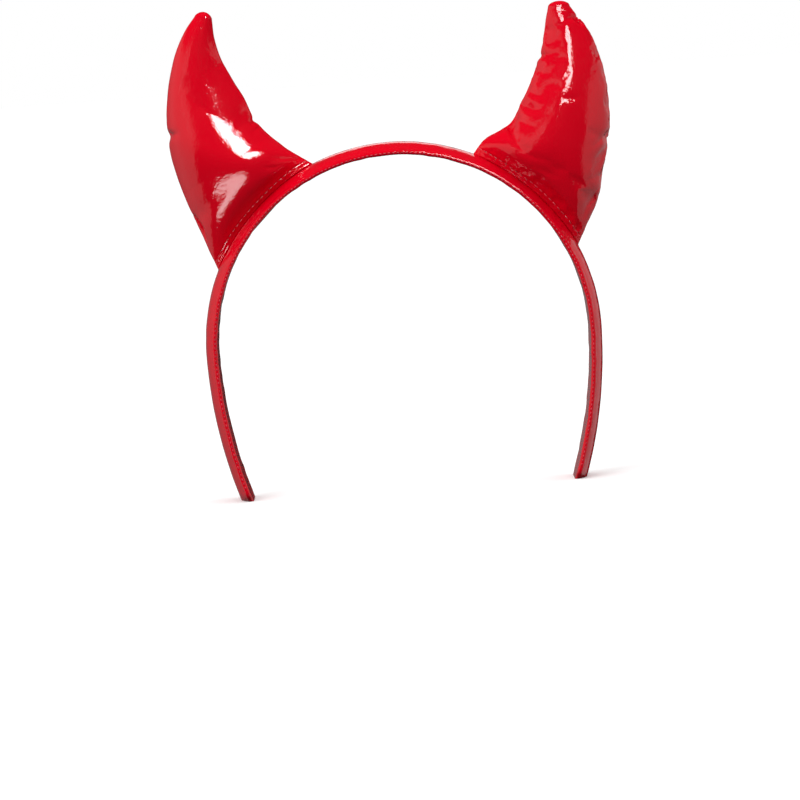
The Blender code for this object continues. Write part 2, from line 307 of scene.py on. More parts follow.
# The pale flat on the wearer's right: the azimuth where it begins level with the camera, how
# much further round it begins for each degree below that, its lowest and highest degrees, how
# bright it looks, and the share of that which is left behind the wearer
FLAT_AZIMUTH = -40
FLAT_SLANT = 0.95
FLAT_LOW, FLAT_HIGH = -35, 27
FLAT_BRIGHTNESS = 0.55
FLAT_FAR_SHARE = 0.25

# The soft light of the room, from its dim floor to its bright ceiling: the heights where the
# change begins and ends, and how bright it is there
SOFT_LOW, SOFT_HIGH = -0.42, 0.5
SOFT_FLOOR, SOFT_CEILING = 0.05, 1.22
GLOSS_FLOOR = 0.03

# How finely everything is drawn
HORN_ROWS = 240
HORN_COLUMNS = 150
TIP_ROWS = 14
BASE_ROWS = 4

BAND_ROWS = 1080
FACE_STEPS = 34
EDGE_STEPS = 10
INNER_STEPS = 12
STITCH_STEPS = 7
STITCH_SIDES = 6
SHARP_ANGLE = math.radians(50)


# Colours and materials


def linear(hex_colour):
    """An sRGB hex colour as linear RGBA."""
    channels = [int(hex_colour[i : i + 2], 16) / 255 for i in (0, 2, 4)]
    return (*(c / 12.92 if c <= 0.04045 else ((c + 0.055) / 1.055) ** 2.4 for c in channels), 1.0)


def add_node(tree, kind, settings=None, **links):
    """Adds a node with its settings, and feeds its inputs from values or other nodes' sockets."""
    node = tree.nodes.new(kind)
    for name, value in (settings or {}).items():
        setattr(node, name, value)
    for name, source in links.items():
        if name.startswith("in"):
            socket = node.inputs[int(name[2:])]
        else:
            socket = next(k for k in node.inputs if k.enabled and k.name == name.replace("_", " "))
        if isinstance(source, bpy.types.NodeSocket):
            tree.links.new(source, socket)
        else:
            socket.default_value = source
    return node


def calendered_vinyl(name, knit_depth, crumple_depth):
    """PVC rolled hot and smooth onto a knit backing. The skin mirrors the lights like lacquer, and
    the knit that shows through it breaks the edges of the reflections into specks."""
    material = bpy.data.materials.new(name)
    material.use_nodes = True
    tree = material.node_tree
    shader = tree.nodes["Principled BSDF"]
    shader.inputs["IOR"].default_value = 1.53
    place = add_node(tree, "ShaderNodeTexCoord").outputs["Object"]

    # The film is a little thinner, and so a little brighter, in patches of about 25 mm
    film = add_node(tree, "ShaderNodeTexNoise", Vector=place, Scale=40.0, Detail=2.0).outputs["Fac"]
    red = add_node(
        tree, "ShaderNodeMix", {"data_type": "RGBA"}, Factor=film, A=linear("D6001A"), B=linear("DE001D")
    )
    tree.links.new(red.outputs["Result"], shader.inputs["Base Color"])

    # Handling leaves it duller in smears of about 12 mm
    smears = add_node(tree, "ShaderNodeTexNoise", Vector=place, Scale=80.0, Detail=3.0, Distortion=0.6)
    dull = add_node(
        tree,
        "ShaderNodeMapRange",
        Value=smears.outputs["Fac"],
        From_Min=0.35,
        From_Max=0.7,
        To_Min=0.055,
        To_Max=0.10,
    )
    tree.links.new(dull.outputs["Result"], shader.inputs["Roughness"])

    # The knit's loops are 0.7 mm apart, drawn at 1.1 mm so that they show in a pixel of 0.4 mm,
    # and the backing puckers over about 4 mm
    knit = add_node(tree, "ShaderNodeTexNoise", Vector=place, Scale=900.0, Detail=2.0).outputs["Fac"]
    crumple = add_node(tree, "ShaderNodeTexNoise", Vector=place, Scale=250.0, Detail=2.0).outputs["Fac"]
    coarse = add_node(tree, "ShaderNodeBump", Height=crumple, Strength=1.0, Distance=crumple_depth)
    fine = add_node(
        tree, "ShaderNodeBump", Height=knit, Strength=1.0, Distance=knit_depth, Normal=coarse.outputs[0]
    )
    tree.links.new(fine.outputs["Normal"], shader.inputs["Normal"])
    return material


def polyester_thread():
    """Spun polyester thread, twisted from two plies: a soft sheen, with painted shade (a darker red) in
    the grooves between the plies and a painted highlight (a paler pink) on the plies where the stitches
    glint.
    The plies are drawn 0.5 mm long so that they show, half as long again as real ones."""
    material = bpy.data.materials.new("spun_polyester_thread")
    material.use_nodes = True
    tree = material.node_tree
    shader = tree.nodes["Principled BSDF"]
    shader.inputs["IOR"].default_value = 1.57
    shader.inputs["Roughness"].default_value = 0.35
    place = add_node(tree, "ShaderNodeTexCoord").outputs["Object"]
    slanting = {"bands_direction": "DIAGONAL"}
    # Painted shade and highlight: the ply bands put a darker red into the grooves between the plies and a
    # paler pink onto the plies' crowns, where the thread glints; the same bands also raise the twist's
    # bump
    wave = add_node(tree, "ShaderNodeTexWave", slanting, Vector=place, Scale=320.0, Distortion=0.4)
    ply_twist_and_painted_shading = wave.outputs["Fac"]
    red = add_node(
        tree, "ShaderNodeMix", {"data_type": "RGBA"}, Factor=ply_twist_and_painted_shading, A=linear("B01428"), B=linear("F0465A")
    )
    tree.links.new(red.outputs["Result"], shader.inputs["Base Color"])
    twist = add_node(tree, "ShaderNodeBump", Height=ply_twist_and_painted_shading, Strength=0.6, Distance=0.04 * MM)
    tree.links.new(twist.outputs["Normal"], shader.inputs["Normal"])
    return material


# Mesh helpers


def mesh_object(name, points, faces, material):
    """A visible piece that stays with the part."""
    mesh = bpy.data.meshes.new(name)
    mesh.from_pydata([tuple(p) for p in points], [], faces)
    mesh.validate()
    mesh.shade_smooth()
    mesh.set_sharp_from_angle(angle=SHARP_ANGLE)
    mesh.materials.append(material)
    piece = bpy.data.objects.new(name, mesh)
    bpy.context.scene.collection.objects.link(piece)
    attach(piece, "root")
    return piece


def bell(distance):
    """1 at no distance, and almost nothing from 2 on."""
    return np.exp(-distance * distance)


def read_table(sections, along):
    """Every column of a table at shares of the way along, on a smooth curve through its rows."""
    rows = np.array(sections, float)
    rows = np.vstack([2 * rows[0] - rows[1], rows, 2 * rows[-1] - rows[-2]])
    place = along * (len(sections) - 1)
    i = np.minimum(place.astype(int), len(sections) - 2)
    s = (place - i)[:, None]
    before, start, end, after = (rows[i + k] for k in range(4))
    slope_in = (end - before) / 2
    slope_out = (after - start) / 2
    return (
        start
        + slope_in * s
        + (3 * (end - start) - 2 * slope_in - slope_out) * s**2
        + (2 * (start - end) + slope_in + slope_out) * s**3
    )


def crest_drop(y, half_width):
    """How far the padded outer face has fallen from its crest at y."""
    share = np.minimum(np.abs(y) / (half_width - EDGE_THICKNESS / 2), 1.0)
    return (BAND_THICKNESS - EDGE_THICKNESS) * share**PADDING_POWER


# Horns


def seat_points(horn, across):
    """Crest points under the horn and outward directions there, from base corner to corner."""
    half_angle = math.asin(horn.base / 2 / HOOP_RADIUS)
    angle = horn.angle + half_angle * (1 - 2 * np.asarray(across))
    outward = np.stack([horn.side * np.sin(angle), 0 * angle, np.cos(angle)], -1)
    return outward * (HOOP_RADIUS + SEWN_GAP) + np.array(HOOP_CENTRE), outward


def drawn_in(horn, along, across):
    """Share of the depth that the gathers take away."""
    share = 0.0
    for gather in horn.gathers:
        from_seam = across if gather.seam == "outer" else 1 - across
        share = share + gather.depth * np.exp(-from_seam / gather.reach) * bell(
            (along - gather.along) / gather.spread
        )
    return share


def horn_grid(horn, face, rows, columns, tip_rows):
    """Points of one panel, row by row from the base and column by column from the outer seam
    to the inner seam, and the tip's own point."""
    along = ((np.arange(rows + 1) / rows) ** ROW_SPACING)[:, None]
    across = ((1 - np.cos(np.pi * np.arange(columns + 1) / columns)) / 2)[None, :]
    table = read_table(horn.sections, along[:, 0])
    outer_c, outer_n, inner_c, inner_n, depth = (table[:, k : k + 1] for k in range(5))
    share = across + 0 * along
    for gather in horn.gathers:
        nick = gather.nick * bell((along - gather.along) / gather.spread)
        reach = max(0.05, 2 * gather.nick)
        if gather.seam == "outer":
            share = share + nick * np.exp(-across / reach)
        else:
            share = share - nick * np.exp(-(1 - across) / reach)
    c = outer_c + (inner_c - outer_c) * share
    n = outer_n + (inner_n - outer_n) * share

    corner = seat_points(horn, 0.0)[0]
    inward = np.array([-horn.side * math.cos(horn.angle), 0, math.sin(horn.angle)])
    up = np.array([horn.side * math.sin(horn.angle), 0, math.cos(horn.angle)])
    points = corner + inward * (c * horn.base)[..., None] + up * (n * horn.height)[..., None]

    arch = np.maximum(1 - along / ARCH_REACH, 0.0) ** 2
    on_arc, outward = seat_points(horn, across[0])
    on_chord = corner + inward * (across[0] * horn.base)[:, None]
    points += (on_arc - on_chord)[None] * arch[..., None]

    # The stuffing is fattest along a slanting line, and lies a little towards the inner seam
    clear_of_ends = np.clip(along / 0.3, 0, 1) ** 2 * np.clip((1 - along) / 0.3, 0, 1)
    slanted = np.clip(along + horn.belly_skew * (across - 0.5) * clear_of_ends, 0, 1)
    fullness = np.interp(slanted, along[:, 0], depth[:, 0])
    fullness *= 1 - horn.lean * np.sin(2 * np.pi * across) * np.clip(along / 0.2, 0, 1)
    pillow = np.maximum(1 - np.abs(2 * across - 1) ** PILLOW_POWER, 0.0) ** PILLOW_ROUNDNESS
    half_depth = HORN_HALF_DEPTH * fullness * pillow * (1 - drawn_in(horn, along, across))
    seated = np.maximum(1 - along / SEAT_REACH, 0.0)
    points -= outward[None] * (crest_drop(half_depth, BAND_WIDTH / 2) * seated)[..., None]
    points[..., 1] = face * (SEWN_GAP / 2 + half_depth)

    outer, inner = points[-1, 0], points[-1, -1]
    middle = (outer + inner) / 2
    chord = (inner - outer) / np.linalg.norm(inner - outer)
    ahead = np.array([-chord[2], 0, chord[0]]) * -horn.side
    domed = []
    for i in range(1, tip_rows):
        turn = math.pi / 2 * i / tip_rows
        rise = horn.tip_dome * math.sin(turn) ** (2 / horn.bluntness)
        domed.append(middle + (points[-1] - middle) * math.cos(turn) + ahead * rise)
    grid = np.concatenate([points, np.array(domed)]) if domed else points
    return grid, middle + ahead * horn.tip_dome


def grid_faces(rows, columns, first=0):
    return [
        (
            first + r * columns + c,
            first + r * columns + c + 1,
            first + (r + 1) * columns + c + 1,
            first + (r + 1) * columns + c,
        )
        for r in range(rows - 1)
        for c in range(columns - 1)
    ]


def grid_normals(grid, face):
    """Outward unit normals of a panel's grid of points."""
    up_panel, over_panel = np.gradient(grid, axis=0), np.gradient(grid, axis=1)
    normals = np.cross(up_panel, over_panel)
    normals /= np.maximum(np.linalg.norm(normals, axis=-1, keepdims=True), 1e-12)
    return normals * np.where(normals[..., 1:2] * face < 0, -1.0, 1.0)


def press_creases(grid, creases, face):
    """Presses creases into a panel's grid along its normals, and leaves the seams in place."""
    normals = grid_normals(grid, face)
    view = grid[..., (0, 2)] / MM
    press = np.zeros(grid.shape[:2])
    for crease in creases:
        nearest = np.full(press.shape, np.inf)
        depth = np.zeros(press.shape)
        parts = len(crease.line) - 1
        for k, (start, end) in enumerate(zip(crease.line, crease.line[1:])):
            start, run = np.array(start), np.array(end) - np.array(start)
            offset = view - start
            share = np.clip((offset @ run) / (run @ run), 0, 1)
            away = offset - share[..., None] * run
            distance = np.linalg.norm(away, axis=-1)
            on_left = run[0] * away[..., 1] - run[1] * away[..., 0] > 0
            ease = np.where(on_left, crease.left, crease.right)
            place = (k + share) / parts
            strength = crease.fade[0] + (crease.fade[1] - crease.fade[0]) * place
            strength = np.maximum(strength, 0) + 4 * place * (1 - place) * (1 - max(crease.fade))
            closer = distance < nearest
            nearest = np.where(closer, distance, nearest)
            pressed = crease.depth * strength * np.exp(-((distance / ease) ** 1.5))
            depth = np.where(closer, pressed, depth)
        press += depth
    clear_of_seams = np.clip(np.abs(grid[..., 1]) / (2.5 * MM), 0, 1)
    grid -= normals * (press * clear_of_seams * MM)[..., None]
    grid[..., 1] = face * np.maximum(grid[..., 1] * face, SEWN_GAP / 2)


def resample(values, rows, columns):
    """A grid's values on a finer grid, on smooth curves through them."""
    down, across, size = values.shape
    values = read_table(values.reshape(down, -1), np.linspace(0, 1, rows)).reshape(rows, across, size)
    values = values.transpose(1, 0, 2).reshape(across, -1)
    values = read_table(values, np.linspace(0, 1, columns)).reshape(columns, rows, size)
    return values.transpose(1, 0, 2)


def stuffed_cloth(horn, face):
    """How far each point of a panel moves when its cloth, sewn fast along both seams and the base
    and cut with some slack, is pressed out by the stuffing."""
    grid, _ = horn_grid(horn, face, CLOTH_ROWS, CLOTH_COLUMNS, 1)
    rows, columns = grid.shape[:2]
    faces = grid_faces(rows, columns)
    if face * horn.side < 0:
        faces = [tuple(reversed(f)) for f in faces]
    mesh = bpy.data.meshes.new("cloth")
    mesh.from_pydata([tuple(p) for p in grid.reshape(-1, 3)], [], faces)
    cloth = bpy.data.objects.new("cloth", mesh)
    scene = bpy.context.scene
    scene.collection.objects.link(cloth)
    sewn = [
        r * columns + c
        for r in range(rows)
        for c in range(columns)
        if r in (0, 1, rows - 1) or c in (0, columns - 1)
    ]
    cloth.vertex_groups.new(name="sewn").add(sewn, 1.0, "REPLACE")
    modifier = cloth.modifiers.new("stuffing", "CLOTH")
    modifier.point_cache.frame_start, modifier.point_cache.frame_end = 1, CLOTH_FRAMES
    settings = modifier.settings
    settings.vertex_group_mass = "sewn"
    settings.quality = CLOTH_QUALITY
    settings.mass = CLOTH_VERTEX_MASS
    settings.tension_stiffness = settings.compression_stiffness = CLOTH_STRETCH_STIFFNESS
    settings.shear_stiffness = CLOTH_SHEAR_STIFFNESS
    settings.bending_stiffness = CLOTH_BENDING_STIFFNESS
    settings.use_pressure = True
    settings.uniform_pressure_force = CLOTH_PRESSURE
    settings.shrink_min = -horn.slack
    settings.effector_weights.gravity = 0
    for moment in range(1, CLOTH_FRAMES + 1):
        scene.frame_set(moment)
    settled = cloth.evaluated_get(bpy.context.evaluated_depsgraph_get())
    moved = np.array([v.co[:] for v in settled.data.vertices]).reshape(grid.shape) - grid
    bpy.data.objects.remove(cloth)
    scene.frame_set(1)
    distance = np.linalg.norm(moved, axis=-1, keepdims=True)
    moved *= CLOTH_CAP * np.tanh(distance / CLOTH_CAP) / np.maximum(distance, 1e-9)
    # The tip is packed hard, so its cloth hardly moves
    moved *= np.clip((rows - 1 - np.arange(rows)) / (PACKED_TIP * rows), 0, 1)[:, None, None]
    return resample(moved, HORN_ROWS + 1, HORN_COLUMNS + 1)


def wander(chance, length, pitch):
    """A line of random heights from -1 to 1, which change over about one pitch."""
    heights = chance.uniform(-1, 1, int(length / pitch) + 6)

    def height(place):
        place = np.clip(place / pitch + 2, 0, len(heights) - 2)
        start = place.astype(int)
        share = place - start
        share = share * share * (3 - 2 * share)
        return heights[start] * (1 - share) + heights[start + 1] * share

    return height


def run_along(points, axis):
    """Distance along a grid's lines, from their start."""
    steps = np.linalg.norm(np.diff(points, axis=axis), axis=-1)
    start = np.zeros_like(np.take(steps, [0], axis=axis))
    return np.concatenate([start, np.cumsum(steps, axis=axis)], axis=axis)


def work_cloth(grid, horn, face, seed):
    """Lumps from the stuffing, puckers and a groove along both seams, and the hem at the base."""
    chance = np.random.default_rng(seed)
    from_outer = run_along(grid, 1)
    from_inner = from_outer[:, -1:] - from_outer
    from_seams = np.minimum(from_outer, from_inner)
    from_base = run_along(grid, 0)
    normals = grid_normals(grid, face)
    raised = np.zeros(grid.shape[:2])
    broad = np.clip(np.linalg.norm(grid[:, -1:] - grid[:, :1], axis=-1) / BROAD_PANEL, 0, 1) ** 2
    shift = Vector(chance.uniform(-9, 9, 3))
    lumps = []
    for point in map(Vector, grid.reshape(-1, 3)):
        small = noise.noise(point * SMALL_LUMPS_PER_METRE - shift)
        lumps.append(noise.noise(point * LUMPS_PER_METRE + shift) + SMALL_LUMP_SHARE * small)
    in_the_middle = np.clip(from_seams / (4 * MM), 0, 1) * np.clip(from_base / (8 * MM), 0, 1)
    raised += horn.lumps * np.array(lumps).reshape(raised.shape) * in_the_middle
    for from_seam, up_seam in ((from_outer, from_base[:, :1]), (from_inner, from_base[:, -1:])):
        for pitch, reach, height in PUCKERS:
            ripple = wander(chance, LONGEST_SEAM, pitch)(up_seam + PUCKER_SLANT * from_seam)
            clear = 1 - np.exp(-((from_seam / PUCKER_START) ** 2))
            raised += horn.puckers * height * ripple * np.exp(-from_seam / reach) * clear * broad
    off_corners = np.clip((from_seams - 1 * MM) / (4 * MM), 0, 1)
    raised += HEM_LIP * bell((from_base - HEM_LIP_PLACE) / HEM_LIP_SPREAD) * off_corners
    raised -= HEM_GROOVE * bell((from_base - HEM_WIDTH) / HEM_GROOVE_SPREAD) * off_corners
    grid += normals * raised[..., None]

    # The seams draw the panel's edges in, less so at the tip
    toward_inner = grid[:, -1:] - grid[:, :1]
    width = np.linalg.norm(toward_inner, axis=-1, keepdims=True)
    toward_inner = toward_inner / np.maximum(width, 1e-9)
    groove = SEAM_GROOVE * np.clip(width / SEAM_GROOVE_PANEL, 0, 1)
    drawn = bell(from_outer / SEAM_GROOVE_REACH) - bell(from_inner / SEAM_GROOVE_REACH)
    grid += toward_inner * groove * drawn[..., None]
    grid[..., 1] = face * np.maximum(grid[..., 1] * face, SEWN_GAP / 2)


def hem_line(grid, face):
    """The stitching line round a horn's base on one panel, and the outward normals there."""
    from_base = run_along(grid[: HORN_ROWS // 3], 0)
    normals = grid_normals(grid, face)
    line, outward = [], []
    for c in range(2, grid.shape[1] - 2):
        rows = from_base[:, c]
        line.append([np.interp(HEM_WIDTH, rows, grid[: len(rows), c, k]) for k in range(3)])
        outward.append([np.interp(HEM_WIDTH, rows, normals[: len(rows), c, k]) for k in range(3)])
    return np.array(line), np.array(outward)


def build_panel(horn, face, name, creases, seed, material):
    """One sewn half of a horn, face -1 for the front one. Gives the line its hem is stitched along."""
    grid, tip_point = horn_grid(horn, face, HORN_ROWS, HORN_COLUMNS, TIP_ROWS)
    grid[: HORN_ROWS + 1] += stuffed_cloth(horn, face)
    press_creases(grid, creases, face)
    work_cloth(grid, horn, face, seed)
    stitching = hem_line(grid, face)
    rows, columns = grid.shape[:2]
    points = list(grid.reshape(-1, 3))
    faces = grid_faces(rows, columns)
    tip = len(points)
    points.append(tip_point)
    last = (rows - 1) * columns
    faces += [(last + c, last + c + 1, tip) for c in range(columns - 1)]

    # The base closes over the band, and the flat side meets the other panel
    across = (1 - np.cos(np.pi * np.arange(columns) / (columns - 1))) / 2
    crest, outward = seat_points(horn, across)
    previous = list(range(columns))
    for i in range(1, BASE_ROWS + 1):
        depth = (np.abs(grid[0, :, 1]) - SEWN_GAP / 2) * (1 - i / BASE_ROWS)
        ring = crest - outward * crest_drop(depth, BAND_WIDTH / 2)[:, None]
        ring[:, 1] = face * (SEWN_GAP / 2 + depth)
        start = len(points)
        points += list(ring[1:-1])
        row = [0] + list(range(start, start + columns - 2)) + [columns - 1]
        for c in range(columns - 1):
            corners = dict.fromkeys((previous[c], previous[c + 1], row[c + 1], row[c]))
            faces.append(tuple(corners))
        previous = row
    side = previous + [(r + 1) * columns - 1 for r in range(1, rows)] + [tip]
    side += [r * columns for r in range(rows - 1, 0, -1)]
    faces.append(tuple(side))
    if face * horn.side < 0:
        faces = [tuple(reversed(f)) for f in faces]
    panel = mesh_object(name + "_cover", points, faces, material)
    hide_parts(name)
    return stitching


# Headband


def band_section(half_width):
    """The band's section as (y, depth below the crest), all the way round."""
    edge_radius = EDGE_THICKNESS / 2
    reach = half_width - edge_radius
    edge_depth = BAND_THICKNESS - edge_radius
    y = reach * (2 * np.arange(FACE_STEPS + 1) / FACE_STEPS - 1)
    outer = np.stack([y, crest_drop(y, half_width)], 1)
    turn = math.pi * np.arange(1, EDGE_STEPS) / EDGE_STEPS
    edge = np.stack([reach + edge_radius * np.sin(turn), edge_depth - edge_radius * np.cos(turn)], 1)
    y = reach * (1 - 2 * np.arange(INNER_STEPS + 1) / INNER_STEPS)
    inner = np.stack([y, np.full_like(y, BAND_THICKNESS)], 1)
    return np.concatenate([outer, edge, inner, edge[::-1] * (-1, 1)])


def band_stations():
    """Crest points, outward directions and half widths, from the right end to the left end."""
    leg_turn = math.asin(HOOP_CENTRE.z / LEG_RADIUS)
    arc_length = HOOP_RADIUS * math.pi / 2
    leg_length = LEG_RADIUS * leg_turn
    stations = []
    for i in range(BAND_ROWS + 1):
        run = (arc_length + leg_length) * (2 * i / BAND_ROWS - 1)
        side = 1 if run > 0 else -1
        if abs(run) <= arc_length:
            angle = run / HOOP_RADIUS
            outward = Vector((math.sin(angle), 0, math.cos(angle)))
            crest = HOOP_CENTRE + outward * HOOP_RADIUS
        else:
            angle = (abs(run) - arc_length) / LEG_RADIUS
            outward = Vector((side * math.cos(angle), 0, -math.sin(angle)))
            leg_centre = HOOP_CENTRE + Vector((side * (HOOP_RADIUS - LEG_RADIUS), 0, 0))
            crest = leg_centre + outward * LEG_RADIUS
        to_corner = max(END_CORNER - max(crest.z, 0), 0)
        inset = END_CORNER - math.sqrt(END_CORNER**2 - to_corner**2)
        stations.append((crest, outward, BAND_WIDTH / 2 - inset))
    return stations


def build_headband(material):
    """The padded cover, with its wrinkles, and the two lines that its edges are stitched along."""
    chance = np.random.default_rng(41)

    def wrinkle(pitch, height, slant):
        line = wander(chance, LONGEST_BAND, pitch)
        return lambda run, y: height * line(run + slant * y)

    broad_wrinkles, small_wrinkles, inner_wrinkles = (
        wrinkle(*sizes) for sizes in (WRINKLES, SMALL_WRINKLES, INNER_WRINKLES)
    )
    points, lines = [], ([], [])
    stations = band_stations()
    run = 0.0
    for i, (crest, outward, half_width) in enumerate(stations):
        section = band_section(half_width)
        y, depth = section[:, 0], section[:, 1]
        if i:
            run += (crest - stations[i - 1][0]).length
        from_end = np.clip((crest.z - 2 * MM) / (8 * MM), 0, 1)
        near_edge = np.clip(np.abs(y) / half_width, 0, 1) ** 3
        low = depth > BAND_THICKNESS - EDGE_THICKNESS
        raised = broad_wrinkles(run, y) * (0.35 + 0.65 * near_edge)
        raised += small_wrinkles(run, y) * near_edge
        raised = np.where(low, inner_wrinkles(run, y), raised)
        # Each stitch at the edge draws the vinyl in
        at_stitch = 0.5 + 0.5 * math.cos(2 * math.pi * run / EDGE_STITCH)
        raised = raised - EDGE_STITCH_PULL * at_stitch * near_edge**4
        row = np.array(crest) - np.array(outward) * (depth - raised * from_end)[:, None]
        row[:, 1] = y
        # The end rows are laid along the leg's slope onto the surface that the ends stand on
        if i in (0, BAND_ROWS):
            down = np.array([-abs(outward.z) * math.copysign(1, outward.x), 0, -abs(outward.x)])
            row += down * (row[:, 2:3] / abs(down[2]))
        points.append(row)
        if crest.z > EDGE_STITCHES_END:
            edge = EDGE_THICKNESS / 2
            turn_y, turn_down = math.cos(EDGE_STITCH_TURN), math.sin(EDGE_STITCH_TURN)
            reach = half_width - edge + edge * turn_y
            below = BAND_THICKNESS - edge + edge * turn_down
            for line, side in zip(lines, (-1, 1)):
                place = crest - outward * below + Vector((0, side * reach, 0))
                line.append((place, Vector((0, side * turn_y, 0)) - outward * turn_down))
    columns = len(points[0])
    points = np.concatenate(points)
    faces = []
    for r in range(BAND_ROWS):
        for c in range(columns):
            k = (c + 1) % columns
            faces.append((r * columns + c, (r + 1) * columns + c, (r + 1) * columns + k, r * columns + k))
    faces.append(tuple(range(columns)))
    faces.append(tuple(range(BAND_ROWS * columns + columns - 1, BAND_ROWS * columns - 1, -1)))
    band = mesh_object("headband_cover", points, faces, material)
    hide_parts("headband")
    return [(np.array([p for p, _ in line]), np.array([n for _, n in line])) for line in lines]


def sew(name, lines, pitch, material):
    """Running stitches along lines on the surface: short arched threads, sunk in at both ends."""
    points, faces = [], []
    share = np.arange(STITCH_STEPS) / (STITCH_STEPS - 1)
    arch = np.sin(np.pi * share)
    turn = 2 * np.pi * np.arange(STITCH_SIDES) / STITCH_SIDES
    for line, normals in lines:
        run = run_along(line, 0)
        count = int(run[-1] // pitch)
        for k in range(count):
            margin = (run[-1] - count * pitch) / 2
            place = margin + pitch * (k + STITCH_STARTS + STITCH_SHOWS * share)
            centre = np.stack([np.interp(place, run, line[:, a]) for a in range(3)], 1)
            outward = np.stack([np.interp(place, run, normals[:, a]) for a in range(3)], 1)
            outward /= np.linalg.norm(outward, axis=1, keepdims=True)
            forward = np.gradient(centre, axis=0)
            forward /= np.linalg.norm(forward, axis=1, keepdims=True)
            sideways = np.cross(forward, outward)
            centre = centre + outward * ((arch[:, None] - STITCH_SUNK) * STITCH_RISE * THREAD)
            thick = THREAD / 2 * (STITCH_END_THICKNESS + (1 - STITCH_END_THICKNESS) * arch)
            start = len(points)
            for i in range(STITCH_STEPS):
                ring = np.cos(turn)[:, None] * outward[i] + np.sin(turn)[:, None] * sideways[i]
                points += list(centre[i] + thick[i] * ring)
            for i in range(STITCH_STEPS - 1):
                for c in range(STITCH_SIDES):
                    d = (c + 1) % STITCH_SIDES
                    a, b = start + i * STITCH_SIDES, start + (i + 1) * STITCH_SIDES
                    faces.append((a + c, a + d, b + d, b + c))
            last = start + (STITCH_STEPS - 1) * STITCH_SIDES
            faces.append(tuple(start + c for c in reversed(range(STITCH_SIDES))))
            faces.append(tuple(last + c for c in range(STITCH_SIDES)))
    return mesh_object(name, points, faces, material)


# Studio


def build_floor():
    """A paper floor that takes the object's shadow and gives nothing back to it."""
    material = bpy.data.materials.new("white_paper_floor")
    material.use_nodes = True
    shader = material.node_tree.nodes["Principled BSDF"]
    shader.inputs["Base Color"].default_value = linear("F8F8F8")
    shader.inputs["Roughness"].default_value = 1.0
    shader.inputs["Specular IOR Level"].default_value = 0.0
    mesh = bpy.data.meshes.new("floor")
    corners = [(x * FLOOR_REACH, y * FLOOR_REACH, 0) for x, y in ((-1, -1), (1, -1), (1, 1), (-1, 1))]
    mesh.from_pydata(corners, [], [(0, 1, 2, 3)])
    mesh.materials.append(material)
    floor = bpy.data.objects.new("floor", mesh)
    bpy.context.scene.collection.objects.link(floor)
    floor.visible_glossy = False
    floor.visible_diffuse = False
    floor.visible_shadow = False


def add_softbox(
    name, azimuth, elevation, distance, size, brightness, target=LAMP_TARGET, shape="RECTANGLE", tilt=0
):
    """A softbox aimed at the target: azimuth 0 is in front of the wearer, 90 to the wearer's left.
    Seen from behind the lamp, it is tilted anticlockwise. The camera never sees it."""
    azimuth, elevation = math.radians(azimuth), math.radians(elevation)
    width, height = size
    level = math.cos(elevation)
    towards = Vector((math.sin(azimuth) * level, -math.cos(azimuth) * level, math.sin(elevation)))
    light = bpy.data.lights.new(name, "AREA")
    light.shape = shape
    light.size = width
    light.size_y = height
    light.energy = brightness * math.pi * width * height
    lamp = bpy.data.objects.new(name, light)
    bpy.context.scene.collection.objects.link(lamp)
    lamp.location = Vector(target) + towards * distance
    turned = towards.to_track_quat("Z", "Y") @ Quaternion((0, 0, 1), math.radians(tilt))
    lamp.rotation_euler = turned.to_euler()
    lamp.visible_camera = False
    return lamp


def math_node(tree, operation, *values):
    links = {"in%d" % i: value for i, value in enumerate(values)}
    return add_node(tree, "ShaderNodeMath", {"operation": operation}, **links).outputs[0]


def build_world():
    """White behind the object, soft light from above, and for the gloss a dim room with one pale
    flat on the wearer's right."""
    world = bpy.data.worlds.new("white_studio")
    bpy.context.scene.world = world
    world.use_nodes = True
    tree = world.node_tree
    tree.nodes.clear()
    output = add_node(tree, "ShaderNodeOutputWorld")
    towards = add_node(tree, "ShaderNodeTexCoord").outputs["Generated"]
    axes = add_node(tree, "ShaderNodeSeparateXYZ", Vector=towards)
    x, y, z = (axes.outputs[k] for k in "XYZ")

    def ease(value, low, high, start=0.0, end=1.0):
        settings = {"interpolation_type": "SMOOTHSTEP"}
        links = {"Value": value, "From_Min": low, "From_Max": high, "To_Min": start, "To_Max": end}
        return add_node(tree, "ShaderNodeMapRange", settings, **links).outputs[0]

    soft = ease(z, SOFT_LOW, SOFT_HIGH, SOFT_FLOOR, SOFT_CEILING)
    azimuth = math_node(tree, "ARCTAN2", x, math_node(tree, "MULTIPLY", y, -1.0))
    height = math_node(tree, "ARCSINE", z)
    edge = math_node(tree, "MULTIPLY_ADD", height, FLAT_SLANT, math.radians(FLAT_AZIMUTH))
    flat = ease(math_node(tree, "SUBTRACT", edge, azimuth), 0.0, 0.05)
    bottom, top = math.radians(FLAT_LOW), math.radians(FLAT_HIGH)
    flat = math_node(tree, "MULTIPLY", flat, ease(height, bottom - 0.04, bottom + 0.04))
    flat = math_node(tree, "MULTIPLY", flat, ease(height, top - 0.08, top + 0.08, 1.0, 0.0))
    fade = ease(y, 0.1, 0.9, FLAT_BRIGHTNESS, FLAT_BRIGHTNESS * FLAT_FAR_SHARE)
    gloss = math_node(tree, "MULTIPLY_ADD", flat, fade, GLOSS_FLOOR)

    path = add_node(tree, "ShaderNodeLightPath")
    diffuse, camera = path.outputs["Is Diffuse Ray"], path.outputs["Is Camera Ray"]
    lit = add_node(tree, "ShaderNodeMix", Factor=diffuse, in2=gloss, in3=soft).outputs[0]
    seen = add_node(tree, "ShaderNodeMix", Factor=camera, in2=lit, in3=1.0).outputs[0]
    background = add_node(tree, "ShaderNodeBackground", Color=(1, 1, 1, 1), Strength=seen)
    tree.links.new(background.outputs["Background"], output.inputs["Surface"])


